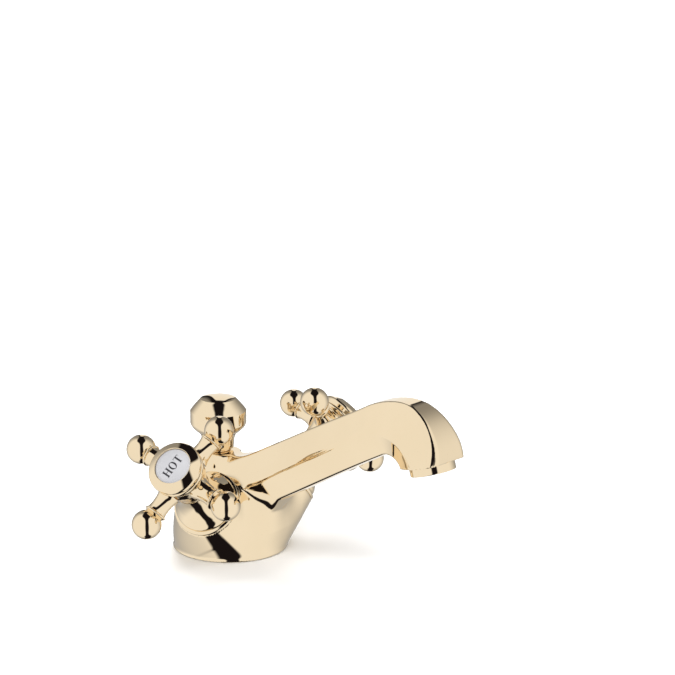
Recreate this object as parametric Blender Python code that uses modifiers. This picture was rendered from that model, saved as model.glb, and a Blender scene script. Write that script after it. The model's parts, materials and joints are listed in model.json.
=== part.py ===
"""Deck-mounted basin mixer: one casting with a fixed spout, two cross handles on
quarter-turn ceramic valves, an aerator, and a pop-up waste lift knob.

World frame: origin at the centre of the base on the deck, +Z up, spout toward -Y,
hot side toward -X.  All driving dimensions are in millimetres and turned to metres
when a mesh is made.
"""
import math

import bmesh
import bpy
from mathutils import Matrix, Vector

MM = 0.001
GAP = 0.3                     # clearance between two pieces that touch

# --- body ---------------------------------------------------------------------
BASE_R = 28.0                 # round foot that covers a 35 mm tap hole
BASE_EDGE = 1.2               # rounding of the foot's bottom edge
FOOT_H = 3.0                  # straight part of the foot
BULGE_R, BULGE_Y, BULGE_Z = 21.6, -11.3, 27.0     # ring that makes the front lean out
CROWN_R = 9.6                 # flat that carries the lift-rod bush
CROWN_Y = 5.0
CROWN_Z = 48.0
CROWN_NOSE = -9.0             # front of the flat, where the spout starts to rise

# --- valve axes ---------------------------------------------------------------
VALVE_ORIGIN = (0.0, -2.5, 6.2)   # the two axes meet here
VALVE_RISE = 39.1             # degrees above the deck
VALVE_SPLAY = 18.4            # degrees toward the front in plan
BOSS_FACE = 39.3              # origin to boss face, along the axis
BOSS_R = 17.0
ARM_PLANE = 33.8              # boss face to the plane of the four arms
VALVE_BORE_R = 10.5
VALVE_BORE_DEPTH = 25.3

# --- cross handle -------------------------------------------------------------
BALL_RING_R = 28.6            # hub axis to ball centre
BALL_R = 7.23
ARM_TILT = -24.0              # first arm from the horizontal in the arm plane
CAP_R = 13.45
DISC_R = 8.7

# --- spout --------------------------------------------------------------------
BEND_Y, BEND_Z = -109.5, 62.8     # centre the bend turns about
RISE = 28.0                   # degrees, rising leg
OUTLET = 73.6                 # degrees below the horizontal at the outlet
SPOUT_ROOT = 112.0            # length of the rising leg, to inside the body
# section angle from the vertical, then heights above the bend centre line and
# half-widths of the top edge, the side crease and the lower edge, and the keel depth
SPOUT_SECTIONS = (
    (28.0, 33.7, 8.0, 18.2, 14.9, 6.9, 7.0, 0.3),     # root
    (28.0, 32.4, 5.7, 20.4, 12.8, 7.9, 6.5, 0.3),     # start of the bend
    (-24.7, 36.6, 5.7, 19.8, 12.8, 7.5, 6.5, 0.2),    # fold across the top
    (-48.0, 36.4, 7.6, 19.1, 12.8, 7.5, 6.5, 0.2),
    (-73.6, 34.2, 9.7, 18.6, 12.8, 7.6, 6.5, 0.2),    # outlet
)
WATERWAY_R = 4.5
WATERWAY_H = 20.5             # channel centre above the bend centre line

# --- aerator ------------------------------------------------------------------
AERATOR_R = 11.0
AERATOR_DROP = 4.0            # how far the housing stands below the spout
AERATOR_SEAT = 12.1           # bottom of housing to the top of its socket

# --- lift knob ----------------------------------------------------------------
ROD_Y = 7.7
ROD_R = 2.0
KNOB_R = 14.15
KNOB_FOOT = 50.0
KNOB_TOP = 76.9

SEG = 20                      # facets on a full turn
PARTS = None
CUTTERS = None
MATERIALS = {}


# --- scene helpers ------------------------------------------------------------
def clear_scene():
    for ob in list(bpy.data.objects):
        bpy.data.objects.remove(ob, do_unlink=True)


def new_collection(name):
    col = bpy.data.collections.new(name)
    bpy.context.scene.collection.children.link(col)
    return col


def material(name, colour, metallic, roughness):
    mat = bpy.data.materials.new(name)
    mat.use_nodes = True
    bsdf = mat.node_tree.nodes["Principled BSDF"]
    bsdf.inputs["Base Color"].default_value = (*colour, 1.0)
    bsdf.inputs["Metallic"].default_value = metallic
    bsdf.inputs["Roughness"].default_value = roughness
    return mat


def own_material(name, kind):
    colour, metallic, roughness = KINDS[kind]
    return material(name + "_" + kind, colour, metallic, roughness)


KINDS = {
    "gold": ((0.83, 0.66, 0.36), 1.0, 0.12),
    "brass": ((0.72, 0.55, 0.25), 1.0, 0.30),
    "steel": ((0.62, 0.62, 0.62), 1.0, 0.30),
    "porcelain": ((0.90, 0.90, 0.92), 0.0, 0.12),
    "ceramic": ((0.80, 0.78, 0.74), 0.0, 0.25),
    "rubber": ((0.03, 0.03, 0.03), 0.0, 0.70),
    "plastic": ((0.75, 0.76, 0.78), 0.0, 0.45),
}


def mesh_from(bm, name):
    """Turn a closed bmesh into a mesh whose faces point outward."""
    bmesh.ops.recalc_face_normals(bm, faces=bm.faces)
    mesh = bpy.data.meshes.new(name)
    bm.to_mesh(mesh)
    bm.free()
    return mesh


def place_object(name, mesh, place=None, kind=None, cutter=False):
    ob = bpy.data.objects.new(name, mesh)
    if cutter:
        CUTTERS.objects.link(ob)
        ob.hide_render = True
        ob.display_type = "WIRE"
    else:
        PARTS.objects.link(ob)
        mesh.materials.append(own_material(name, kind))
    if place is not None:
        ob.matrix_world = place
    return ob


def boolean(ob, other, operation="DIFFERENCE"):
    mod = ob.modifiers.new(other.name, "BOOLEAN")
    mod.operation = operation
    mod.solver = "EXACT"
    mod.object = other


# --- shapes -------------------------------------------------------------------
def arc(cr, cz, radius, start, end, steps):
    """Points on an arc in a profile plane, angles in degrees."""
    out = []
    for i in range(steps + 1):
        a = math.radians(start + (end - start) * i / steps)
        out.append((cr + radius * math.cos(a), cz + radius * math.sin(a)))
    return out


def turned(name, profile, place=None, kind="gold", segments=SEG, cutter=False):
    """Turn a (radius, height) profile about the local Z axis with a Screw modifier.

    The points run round the section from the inner or lower side, so they are laid
    down in reverse: the modifier wants the outer side from top to bottom.  A profile
    that starts on the axis stays open there, and any other one is a closed loop.
    """
    points = [(r * MM, 0.0, z * MM) for r, z in reversed(profile)]
    edges = [(i, i + 1) for i in range(len(points) - 1)]
    if profile[0][0] > 0:
        edges.append((len(points) - 1, 0))
    mesh = bpy.data.meshes.new(name)
    mesh.from_pydata(points, edges, [])
    ob = place_object(name, mesh, place, kind, cutter)
    screw = ob.modifiers.new("Turn", "SCREW")
    screw.steps = screw.render_steps = segments
    screw.use_merge_vertices = True
    screw.merge_threshold = 0.00001
    return ob


def drum(name, radius, low, high, place=None, segments=SEG):
    """Plain cylinder cutter along the local Z axis."""
    bm = bmesh.new()
    middle = Matrix.Translation((0, 0, (low + high) / 2 * MM))
    bmesh.ops.create_cone(bm, cap_ends=True, segments=segments, radius1=radius * MM,
                          radius2=radius * MM, depth=(high - low) * MM, matrix=middle)
    return place_object(name, mesh_from(bm, name), place, cutter=True)


def tube(name, points, radius):
    """Closed round tube cutter along a smooth run of points."""
    curve = bpy.data.curves.new(name, "CURVE")
    curve.dimensions = "3D"
    curve.bevel_depth = radius * MM
    curve.bevel_resolution = 2
    curve.use_fill_caps = True
    spline = curve.splines.new("POLY")
    spline.points.add(len(points) - 1)
    for knot, point in zip(spline.points, points):
        knot.co = (*(point * MM), 1.0)
    guide = bpy.data.objects.new(name + "_guide", curve)
    CUTTERS.objects.link(guide)
    seen = guide.evaluated_get(bpy.context.evaluated_depsgraph_get())
    bm = bmesh.new()
    skin = bpy.data.meshes.new_from_object(seen)
    bm.from_mesh(skin)
    bmesh.ops.remove_doubles(bm, verts=bm.verts, dist=0.00001)
    bpy.data.objects.remove(guide)
    return place_object(name, mesh_from(bm, name), None, cutter=True)


def loft(rings):
    """Closed bmesh skinned through rings of equal length in millimetres."""
    bm = bmesh.new()
    rows = [[bm.verts.new(Vector(p) * MM) for p in ring] for ring in rings]
    count = len(rows[0])
    bm.faces.new(rows[0])
    bm.faces.new(rows[-1])
    for low, high in zip(rows, rows[1:]):
        for j in range(count):
            k = (j + 1) % count
            bm.faces.new((low[j], low[k], high[k], high[j]))
    return bm


# --- frames -------------------------------------------------------------------
def valve_axes(side):
    """Unit vectors of one valve: across, second, outward (right-handed)."""
    rise, splay = math.radians(VALVE_RISE), math.radians(VALVE_SPLAY)
    out = Vector((side * math.cos(rise) * math.cos(splay),
                  -math.cos(rise) * math.sin(splay), math.sin(rise)))
    across = Vector((-side * math.sin(splay), -math.cos(splay), 0.0))
    return across, out.cross(across), out


def valve_frame(side):
    """Matrix whose Z runs up the valve axis from the centre of the boss face."""
    across, second, out = valve_axes(side)
    mat = Matrix((across, second, out)).transposed().to_4x4()
    mat.translation = (Vector(VALVE_ORIGIN) + out * BOSS_FACE) * MM
    return mat


def arm_frame(side, index):
    """Matrix whose Z runs out along one arm of the cross."""
    turn = math.radians(ARM_TILT + 90.0 * index) * (-side)
    lay = Matrix.Rotation(turn, 4, "Z") @ Matrix.Rotation(math.pi / 2, 4, "Y")
    return valve_frame(side) @ Matrix.Translation((0, 0, ARM_PLANE * MM)) @ lay


def outlet_frame():
    """Matrix whose Z runs up into the spout from the aerator's lower face."""
    a = math.radians(OUTLET)
    up = Vector((0.0, math.cos(a), math.sin(a)))
    across = Vector((1.0, 0.0, 0.0))
    mat = Matrix((across, up.cross(across), up)).transposed().to_4x4()
    base = station_point(0.0, -OUTLET, 22.3) - up * AERATOR_DROP
    mat.translation = base * MM
    return mat


def station_point(along, angle, height, half_width=0.0):
    """Point on a spout section: heights are measured from the bend centre line."""
    a, r = math.radians(angle), math.radians(RISE)
    y = BEND_Y + along * math.cos(r) + height * math.sin(a)
    z = BEND_Z - along * math.sin(r) + height * math.cos(a)
    return Vector((half_width, y, z))


def spout_stations():
    """(distance back from the bend, section angle) from the root to the outlet."""
    rising = [(SPOUT_ROOT * (1.0 - i / 4.0), RISE) for i in range(4)]
    sweep = RISE + OUTLET
    return rising + [(0.0, RISE - sweep * i / 8.0) for i in range(9)]


def section_at(along, angle):
    """Section figures at a station, straight-line between the key sections."""
    if along > 0:
        low, high, t = SPOUT_SECTIONS[1], SPOUT_SECTIONS[0], along / SPOUT_ROOT
        return [a + (b - a) * t for a, b in zip(low[1:], high[1:])]
    for low, high in zip(SPOUT_SECTIONS[1:], SPOUT_SECTIONS[2:]):
        if angle >= high[0] - 1e-6:
            t = (low[0] - angle) / (low[0] - high[0])
            return [a + (b - a) * t for a, b in zip(low[1:], high[1:])]
    return SPOUT_SECTIONS[-1][1:]


# --- body ---------------------------------------------------------------------
def hull_object(name, points):
    bm = bmesh.new()
    for p in points:
        bm.verts.new(Vector(p) * MM)
    made = bmesh.ops.convex_hull(bm, input=bm.verts)
    spare = set(made["geom_interior"]) | set(made["geom_unused"])
    loose = [v for v in spare if isinstance(v, bmesh.types.BMVert)]
    bmesh.ops.delete(bm, geom=loose, context="VERTS")
    return place_object(name, mesh_from(bm, name), None, "gold")


def circle_points(radius, count, centre=(0, 0, 0), u=(1, 0, 0), v=(0, 1, 0)):
    out = []
    for j in range(count):
        a = 2 * math.pi * j / count
        out.append(Vector(centre) + Vector(u) * (radius * math.cos(a))
                   + Vector(v) * (radius * math.sin(a)))
    return out


def body_points():
    """Rims the casting is drawn over: foot, boss faces, front bulge and crown."""
    pts = circle_points(BASE_R - BASE_EDGE, 48)
    pts += circle_points(BASE_R - 0.35 * BASE_EDGE, 48, (0, 0, 0.35 * BASE_EDGE))
    pts += circle_points(BASE_R, 48, (0, 0, BASE_EDGE))
    pts += circle_points(BASE_R, 48, (0, 0, FOOT_H))
    for side in (-1, 1):
        across, second, out = valve_axes(side)
        face = Vector(VALVE_ORIGIN) + out * BOSS_FACE
        pts += circle_points(BOSS_R, 40, face, across, second)
    pts += circle_points(BULGE_R, 40, (0, BULGE_Y, BULGE_Z))
    pts += circle_points(CROWN_R, 24, (0, CROWN_Y, CROWN_Z))
    pts += [(w, CROWN_NOSE, CROWN_Z) for w in (-5.7, 5.7)]
    pts += circle_points(CROWN_R + 4.0, 24, (0, CROWN_Y, CROWN_Z - 2.5))
    return pts


def spout_skin():
    """Seven-sided section lofted up the rising leg and round the bend."""
    rings = []
    for along, angle in spout_stations():
        top, top_w, mid, mid_w, low, low_w, keel = section_at(along, angle)
        spec = ((top, top_w), (mid, mid_w), (low, low_w), (low - keel, 0.0),
                (low, -low_w), (mid, -mid_w), (top, -top_w))
        rings.append([station_point(along, angle, h, w) for h, w in spec])
    mesh = mesh_from(loft(rings), "spout_skin")
    return place_object("spout_skin", mesh, cutter=True)


def waterway():
    """Round channel that follows the spout from the body to the aerator socket."""
    points = [station_point(along, RISE, WATERWAY_H) for along in (98.0, 50.0, 10.0)]
    points += [station_point(0.0, angle, WATERWAY_H) for angle in (28, 8, -12, -32, -50)]
    up = Matrix.Translation((0, 0, (AERATOR_SEAT - 1.0) * MM))
    points.append((outlet_frame() @ up).translation / MM)
    return tube("waterway", points, WATERWAY_R)


def pipe_between(name, start, end, radius, segments=16):
    a, b = Vector(start), Vector(end)
    turn = (b - a).to_track_quat("Z", "Y").to_matrix().to_4x4()
    place = Matrix.Translation(a * MM) @ turn
    return drum(name, radius, 0.0, (b - a).length, place, segments)


def body_cutters():
    root = station_point(94.0, RISE, WATERWAY_H)
    cuts = [waterway()]
    cuts.append(drum("aerator_socket", AERATOR_R + 0.25, -2.0, AERATOR_SEAT, outlet_frame(), 28))
    for side, name in ((-1, "hot"), (1, "cold")):
        out = valve_axes(side)[2]
        origin = Vector(VALVE_ORIGIN)
        cuts.append(drum(name + "_valve_bore", VALVE_BORE_R, -VALVE_BORE_DEPTH, 3.0,
                         valve_frame(side), 24))
        inner = origin + out * (BOSS_FACE - VALVE_BORE_DEPTH)
        foot = Vector((inner.x, inner.y, -2.0))
        cuts.append(pipe_between(name + "_inlet", foot, inner + Vector((0, 0, 3.0)), 4.0))
        port = origin + out * (BOSS_FACE - 13.4)
        cuts.append(pipe_between(name + "_mixing_port", port, root, 3.0))
    rod = Matrix.Translation((0, ROD_Y * MM, 0))
    cuts.append(drum("rod_bore", ROD_R + 0.6, -2.0, 52.0, rod, 24))
    cuts.append(drum("bush_bore", 5.0, 34.0, 56.0, rod, 32))
    stud = Matrix.Translation((0, 17.5 * MM, 0))
    cuts.append(drum("stud_hole", 4.0, -2.0, 9.0, stud, 24))
    groove = [(21.7, -2.0), (25.3, -2.0), (25.3, 1.8), (21.7, 1.8)]
    cuts.append(turned("gasket_groove", groove, segments=32, cutter=True))
    return cuts


def make_body():
    body = hull_object("body", body_points())
    boolean(body, spout_skin(), "UNION")
    for cutter in body_cutters():
        boolean(body, cutter)
    return body


# --- pieces that stay still -----------------------------------------------------
def ring_profile(inner, outer, low, high, round_top=0.0):
    if round_top <= 0:
        return [(inner, low), (outer, low), (outer, high), (inner, high)]
    out = [(inner, low), (outer, low)]
    out += arc(outer - round_top, high - round_top, round_top, 0, 90, 4)
    out += arc(inner + round_top, high - round_top, round_top, 90, 180, 4)
    return out


def oring(name, major, minor, height, place):
    profile = arc(major, height, minor, 0, 300, 5)
    return turned(name, profile, place, "rubber", 20)


SHROUD_OUTER = ((15.3, 2.5), (15.5, 3.4), (15.1, 4.4), (13.4, 6.6), (11.6, 10.0),
                (10.1, 14.0), (9.3, 18.0), (9.1, 22.0))
SHROUD_WALL = 1.35


def shroud_profile():
    outer = list(SHROUD_OUTER)
    inner = [(r - SHROUD_WALL, z) for r, z in reversed(SHROUD_OUTER)]
    return outer + inner


def valve_body_profile():
    return [(8.3, -24.6), (10.2, -24.6), (10.2, 0.3), (12.2, 0.3), (12.2, 2.4),
            (9.4, 2.4), (9.4, 8.2), (6.6, 8.2), (6.6, 19.4), (4.3, 19.4),
            (4.3, -12.0), (8.3, -12.0)]


def make_valve(side, name):
    place = valve_frame(side)
    turned(name + "_seat_ring", ring_profile(13.0, 16.9, 0.3, 2.2, 1.1), place)
    turned(name + "_shroud", shroud_profile(), place)
    head = turned(name + "_valve_body", valve_body_profile(), place, "brass", 24)
    port = place @ Matrix.Translation((0, 0, -13.4 * MM)) @ Matrix.Rotation(math.pi / 2, 4, "X")
    boolean(head, drum(name + "_valve_port", 1.1, -14.0, 14.0, port, 12))
    turned(name + "_fixed_disc", ring_profile(2.0, 8.0, -20.5, -17.8), place, "ceramic", 20)
    turned(name + "_valve_seal", ring_profile(5.2, 8.0, -25.0, -20.8), place, "rubber", 20)


def make_aerator():
    place = outlet_frame()
    r = AERATOR_R
    housing = [(8.4, 0.5), (8.9, 0.0), (r - 0.5, 0.0), (r, 0.5), (r, 6.0), (r - 0.4, 6.4),
               (r - 0.4, 10.0), (9.4, 10.0), (9.4, 2.0), (8.4, 2.0)]
    turned("aerator_housing", housing, place)
    insert = [(0, 2.3), (1.2, 2.3), (1.2, 3.1), (2.6, 3.1), (2.6, 2.3), (4.2, 2.3), (4.2, 3.1),
              (5.6, 3.1), (5.6, 2.3), (9.1, 2.3), (9.1, 9.6), (0, 9.6)]
    turned("aerator_insert", insert, place, "plastic", 24)
    turned("aerator_gasket", ring_profile(6.5, 10.4, 10.3, 11.8), place, "rubber", 24)


# --- pieces that turn with a handle ---------------------------------------------
def hub_profile():
    outer = [(9.0, 22.4), (9.6, 26.5), (11.2, 31.5), (11.5, 36.0), (12.1, 38.4),
             (12.5, 39.2), (11.4, 39.2), (11.4, 41.7)]
    inner = [(7.0, 41.7), (7.0, 35.3), (2.7, 35.3), (2.7, 34.3), (4.3, 34.3), (4.3, 22.4)]
    return outer + inner


def arm_profile():
    neck = [(0, 8.3), (3.0, 8.3), (3.0, 12.5), (4.7, 12.5), (5.0, 13.3), (4.6, 16.2),
            (4.75, 20.0), (5.45, 21.8), (5.2, 22.9)]
    start = math.degrees(math.acos(-4.9 / BALL_R))
    ball = []
    for i in range(7):
        a = math.radians(start * (1.0 - i / 7.0))
        ball.append((BALL_R * math.sin(a), BALL_RING_R + BALL_R * math.cos(a)))
    return neck + ball + [(0, BALL_RING_R + BALL_R)]


def cap_profile():
    bead = [(12.3, 39.6), (12.9, 40.3), (13.2, 41.0), (13.2, 41.8), (12.95, 42.4)]
    outer = bead + [(12.75, 42.75), (13.1, 43.5), (CAP_R, 44.6), (13.3, 45.3), (12.7, 46.0),
                    (9.3, 48.3), (9.0, 48.15)]
    inner = [(9.0, 45.9), (0, 45.9), (0, 44.2), (11.2, 44.2), (11.7, 43.2), (11.7, 39.6)]
    return outer + inner


def disc_profile():
    return [(0, 46.2), (DISC_R, 46.2), (DISC_R, 47.3), (7.6, 47.5), (5.6, 47.7),
            (2.8, 47.85), (0, 47.9)]


def spindle_profile():
    return [(0, -14.5), (7.6, -14.5), (7.6, -12.4), (4.0, -12.4), (4.0, 1.0), (3.2, 1.0),
            (3.2, 2.4), (4.0, 2.4), (4.0, 19.8), (3.2, 19.8), (3.2, 20.8), (4.0, 20.8),
            (4.0, 34.0), (2.7, 34.0), (2.7, 17.0), (0, 17.0)]


def make_circlip(name, place):
    """Open spring ring lying in the spindle groove."""
    rings = []
    for j in range(13):
        a = math.radians(25 + 310 * j / 12)
        c, s = math.cos(a), math.sin(a)
        rings.append([(r * c, r * s, z) for r, z in
                      ((3.4, 20.0), (5.3, 20.0), (5.3, 20.6), (3.4, 20.6))])
    place_object(name, mesh_from(loft(rings), name), place, "steel")


def make_handle(side, name):
    place = valve_frame(side)
    hub = turned(name + "_hub", hub_profile(), place)
    for k in range(4):
        frame = arm_frame(side, k)
        boolean(hub, drum("%s_arm_socket_%d" % (name, k + 1), 3.3, 8.0, 16.0, frame, 12))
        turned("%s_arm_%d" % (name, k + 1), arm_profile(), frame, segments=12)
    turned(name + "_cap", cap_profile(), place)
    turned(name + "_index_disc", disc_profile(), place, "porcelain")
    turned(name + "_spindle", spindle_profile(), place, "brass", 20)
    turned(name + "_turning_disc", [(0, -17.5), (8.0, -17.5), (8.0, -14.8), (0, -14.8)],
           place, "ceramic", 20)
    oring(name + "_spindle_seal", 3.75, 0.42, 1.7, place)
    make_circlip(name + "_circlip", place)
    screw = [(0, 19.0), (2.1, 19.0), (2.4, 19.6), (2.4, 35.6), (4.3, 35.6), (4.3, 38.0),
             (3.6, 38.7), (1.6, 38.7), (1.6, 37.2), (0, 37.2)]
    turned(name + "_handle_screw", screw, place, "steel", 16)


# --- lift rod -------------------------------------------------------------------
def knob_profile():
    z = KNOB_FOOT
    out = [(2.3, z), (7.5, z), (7.75, z + 1.5), (7.85, z + 3.0), (8.2, z + 5.2),
           (9.2, z + 7.2), (11.3, z + 9.1), (13.0, z + 10.8), (13.95, z + 12.4),
           (KNOB_R, z + 13.4), (KNOB_R, z + 19.2), (12.0, z + 22.0), (9.3, z + 25.0),
           (8.4, z + 25.65), (4.6, z + 26.5), (0, KNOB_TOP)]
    return out + [(0, z + 12.5), (2.3, z + 12.5)]


def make_lift_rod():
    place = Matrix.Translation((0, ROD_Y * MM, 0))
    turned("lift_knob", knob_profile(), place)
    rod = [(0, 3.0), (1.6, 3.0), (ROD_R, 3.4), (ROD_R, 61.8), (1.6, 62.2), (0, 62.2)]
    turned("lift_rod", rod, place, "brass", 16)
    bush = [(2.3, 37.0), (4.7, 37.0), (4.7, 48.3), (5.8, 48.3), (6.1, 48.7), (5.9, 49.3),
            (5.4, 49.7), (2.3, 49.7)]
    turned("lift_rod_bush", bush, place, segments=24)
    turned("lift_rod_seal", ring_profile(2.25, 4.7, 34.3, 36.7), place, "rubber", 16)


# --- assembly -------------------------------------------------------------------
def main():
    global PARTS, CUTTERS
    clear_scene()
    PARTS = new_collection("basin_mixer")
    CUTTERS = new_collection("cutters")
    make_body()
    turned("base_gasket", ring_profile(22.0, 25.0, 0.0, 1.5), None, "rubber", 32)
    make_aerator()
    for side, name in ((-1, "hot"), (1, "cold")):
        make_valve(side, name)
        make_handle(side, name)
    make_lift_rod()


main()
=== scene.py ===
"""Looks of the basin mixer: polished casting, turned trim, index discs and studio."""

import json
import math

import bmesh
import bpy
import numpy as np
from mathutils import Matrix, Vector


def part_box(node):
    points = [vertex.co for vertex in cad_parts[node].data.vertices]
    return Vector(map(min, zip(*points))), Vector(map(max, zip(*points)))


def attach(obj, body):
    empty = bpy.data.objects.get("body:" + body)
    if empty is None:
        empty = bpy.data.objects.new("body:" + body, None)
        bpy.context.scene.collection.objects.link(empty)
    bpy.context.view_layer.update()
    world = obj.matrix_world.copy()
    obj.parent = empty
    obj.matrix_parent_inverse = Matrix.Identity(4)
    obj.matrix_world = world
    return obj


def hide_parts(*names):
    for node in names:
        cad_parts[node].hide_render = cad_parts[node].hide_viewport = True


MM = 0.001
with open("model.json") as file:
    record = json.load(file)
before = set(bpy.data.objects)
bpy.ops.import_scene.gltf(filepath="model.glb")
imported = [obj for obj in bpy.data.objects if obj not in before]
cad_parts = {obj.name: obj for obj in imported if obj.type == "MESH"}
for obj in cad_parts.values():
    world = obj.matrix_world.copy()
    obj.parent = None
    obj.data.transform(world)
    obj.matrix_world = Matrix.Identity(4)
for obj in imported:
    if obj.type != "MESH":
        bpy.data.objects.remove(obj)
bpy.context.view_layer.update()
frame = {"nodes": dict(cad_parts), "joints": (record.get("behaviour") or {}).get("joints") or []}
joints = {j["name"]: j for j in frame["joints"]}

# --- driving dimensions, millimetres --------------------------------------------
BASE_R = 28.0
BASE_EDGE = 1.4                        # rounding of the foot's bottom edge
BOSS_R = 16.9
CROWN_R, CROWN_Y, CROWN_Z = 8.9, 5.0, 48.7
FRONT_LEAN, FRONT_TAPER, FRONT_TOP = 0.42, 0.235, 36.0   # front of the casting under the spout
JOIN_BLEND, JOIN_FROM = 6.0, 14.0      # bosses meet the column; full blend from this height up
SPOUT_BLEND = 3.5                      # spout's sides into the body
KEEL_BLEND = 1.4                       # spout's underside into its sides
CROWN_FILLET, TOP_EDGE = 4.5, 0.6      # crown into the spout's top, and the edge round them
ARM_PLANE = 33.8                       # boss face to arm plane, along the valve axis
BALL_RING_R, BALL_R = 28.6, 7.23
ARM_TILT = -24.0
BEND = np.array([0.0, -109.5, 62.8])   # the spout's bend turns about this line
RISE, OUTLET = 28.0, 73.6              # degrees: rising leg, outlet below the horizontal
OUTLET_H = 22.3                        # bend centre line to the aerator's axis
AERATOR_DROP = 4.0
VALVE_BORE_R, VALVE_BORE_DEPTH = 10.5, 25.3
AERATOR_BORE_R, AERATOR_BORE_TOP = 11.25, 12.1
INLET_R = 4.0
GROOVE_R, GROOVE_HALF, GROOVE_TOP = 23.5, 1.8, 1.8       # gasket groove under the foot
ROD_Y, ROD_BORE_R, BUSH_BORE_R, BUSH_BORE_FROM = 7.7, 2.6, 5.0, 34.0
STUD_Y, STUD_R, STUD_TOP = 17.5, 4.0, 9.0
SPOUT_END = 108.0                      # length of the rising leg, to inside the body
FOLD = -24.5                           # section angle of the fold across the spout's top
FACET_FROM, FACET_W, FACET_GROWTH = -16.0, 4.4, 1.3      # facet under the top edge at the bend
FACET_RUN, FACET_DROP = 0.77, 0.64     # its slope, outward and down
UNDER_BLEND = 1.6                      # crease along the spout's side
ROOT_DIP, ROOT_FROM = 0.42, 76.0       # keel falls away toward the body from this station
TRUE_SLOPE = 0.92                      # cones' radial fields, corrected to distances
CAP_SLOPE = 36.0                       # flank of the cap, degrees off flat
DISC_R, DISC_EDGE, DISC_CROWN = 8.85, 47.4, 47.95        # index disc: radius, rim, middle
KNOB_R, KNOB_FOOT, KNOB_CROWN_R = 14.15, 50.0, 28.0      # band, underside, curve of the top
GRILLE_R = 9.1
SEG = 160                              # facets on a full turn


# --- frames ----------------------------------------------------------------------
def unit(v):
    v = np.asarray(v, float)
    return v / np.linalg.norm(v)


def valve(side):
    """Origin on the boss face and the unit vectors across, second, outward."""
    joint = joints[side + "_handle_turn"]
    out = unit(joint["axis"]) * (1 if side == "hot" else -1)
    across = unit([out[1], -out[0], 0.0])
    if across[1] > 0:
        across = -across
    return np.array(joint["pos_m"]) / MM, across, np.cross(out, across), out


def matrix(origin, x, y, z):
    mat = Matrix((Vector(x), Vector(y), Vector(z))).transposed().to_4x4()
    mat.translation = Vector(origin) * MM
    return mat


def valve_matrix(side):
    return matrix(*valve(side))


def arm_matrix(side, index):
    hand = 1 if side == "hot" else -1
    turn = math.radians(ARM_TILT + 90.0 * index) * hand
    lay = Matrix.Rotation(turn, 4, "Z") @ Matrix.Rotation(math.pi / 2, 4, "Y")
    return valve_matrix(side) @ Matrix.Translation((0, 0, ARM_PLANE * MM)) @ lay


def outlet_axes():
    """Aerator's lower centre, and unit vectors across, second, up into the spout."""
    a = math.radians(OUTLET)
    up = np.array([0.0, math.cos(a), math.sin(a)])
    centre = BEND + OUTLET_H * np.array([0.0, -math.sin(a), math.cos(a)])
    across = np.array([1.0, 0.0, 0.0])
    return centre - up * AERATOR_DROP, across, np.cross(up, across), up


# --- materials -------------------------------------------------------------------
class Nodes:
    """Small helper for building node trees."""

    def __init__(self, tree):
        self.tree = tree
        tree.nodes.clear()

    def add(self, kind, **values):
        node = self.tree.nodes.new(kind)
        for key, value in values.items():
            if key.startswith("in_"):
                node.inputs[key[3:].replace("_", " ")].default_value = value
            else:
                setattr(node, key, value)
        return node

    def link(self, a, a_out, b, b_in):
        self.tree.links.new(a.outputs[a_out], b.inputs[b_in])

    def math(self, operation, *values):
        node = self.add("ShaderNodeMath", operation=operation)
        for socket, value in zip(node.inputs, values):
            if isinstance(value, (int, float)):
                socket.default_value = value
            else:
                self.tree.links.new(value, socket)
        return node.outputs[0]


def ramp(nodes, low, high, start=0.35, end=0.65):
    node = nodes.add("ShaderNodeValToRGB")
    node.color_ramp.elements[0].position = start
    node.color_ramp.elements[0].color = (*low, 1)
    node.color_ramp.elements[1].position = end
    node.color_ramp.elements[1].color = (*high, 1)
    return node


def surface(name, low, high, metallic, rough, scale, bump=0.0, bump_scale=400.0, **extra):
    """Principled surface whose colour, roughness and relief vary with noise."""
    mat = bpy.data.materials.new(name)
    mat.use_nodes = True
    nodes = Nodes(mat.node_tree)
    out = nodes.add("ShaderNodeOutputMaterial")
    bsdf = nodes.add("ShaderNodeBsdfPrincipled", in_Metallic=metallic)
    for key, value in extra.items():
        bsdf.inputs[key.replace("_", " ")].default_value = value
    place = nodes.add("ShaderNodeTexCoord")
    noise = nodes.add("ShaderNodeTexNoise", in_Scale=scale, in_Detail=4.0, in_Roughness=0.55)
    colour = ramp(nodes, low, high)
    spread = nodes.add("ShaderNodeMapRange", in_To_Min=rough[0], in_To_Max=rough[1])
    nodes.link(place, "Object", noise, "Vector")
    nodes.link(noise, "Fac", colour, "Fac")
    nodes.link(colour, "Color", bsdf, "Base Color")
    nodes.link(noise, "Fac", spread, "Value")
    nodes.link(spread, "Result", bsdf, "Roughness")
    if bump > 0:
        grain = nodes.add("ShaderNodeTexNoise", in_Scale=bump_scale, in_Detail=3.0)
        relief = nodes.add("ShaderNodeBump", in_Strength=bump, in_Distance=0.0001)
        nodes.link(place, "Object", grain, "Vector")
        nodes.link(grain, "Fac", relief, "Height")
        nodes.link(relief, "Normal", bsdf, "Normal")
    nodes.link(bsdf, "BSDF", out, "Surface")
    return mat


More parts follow.
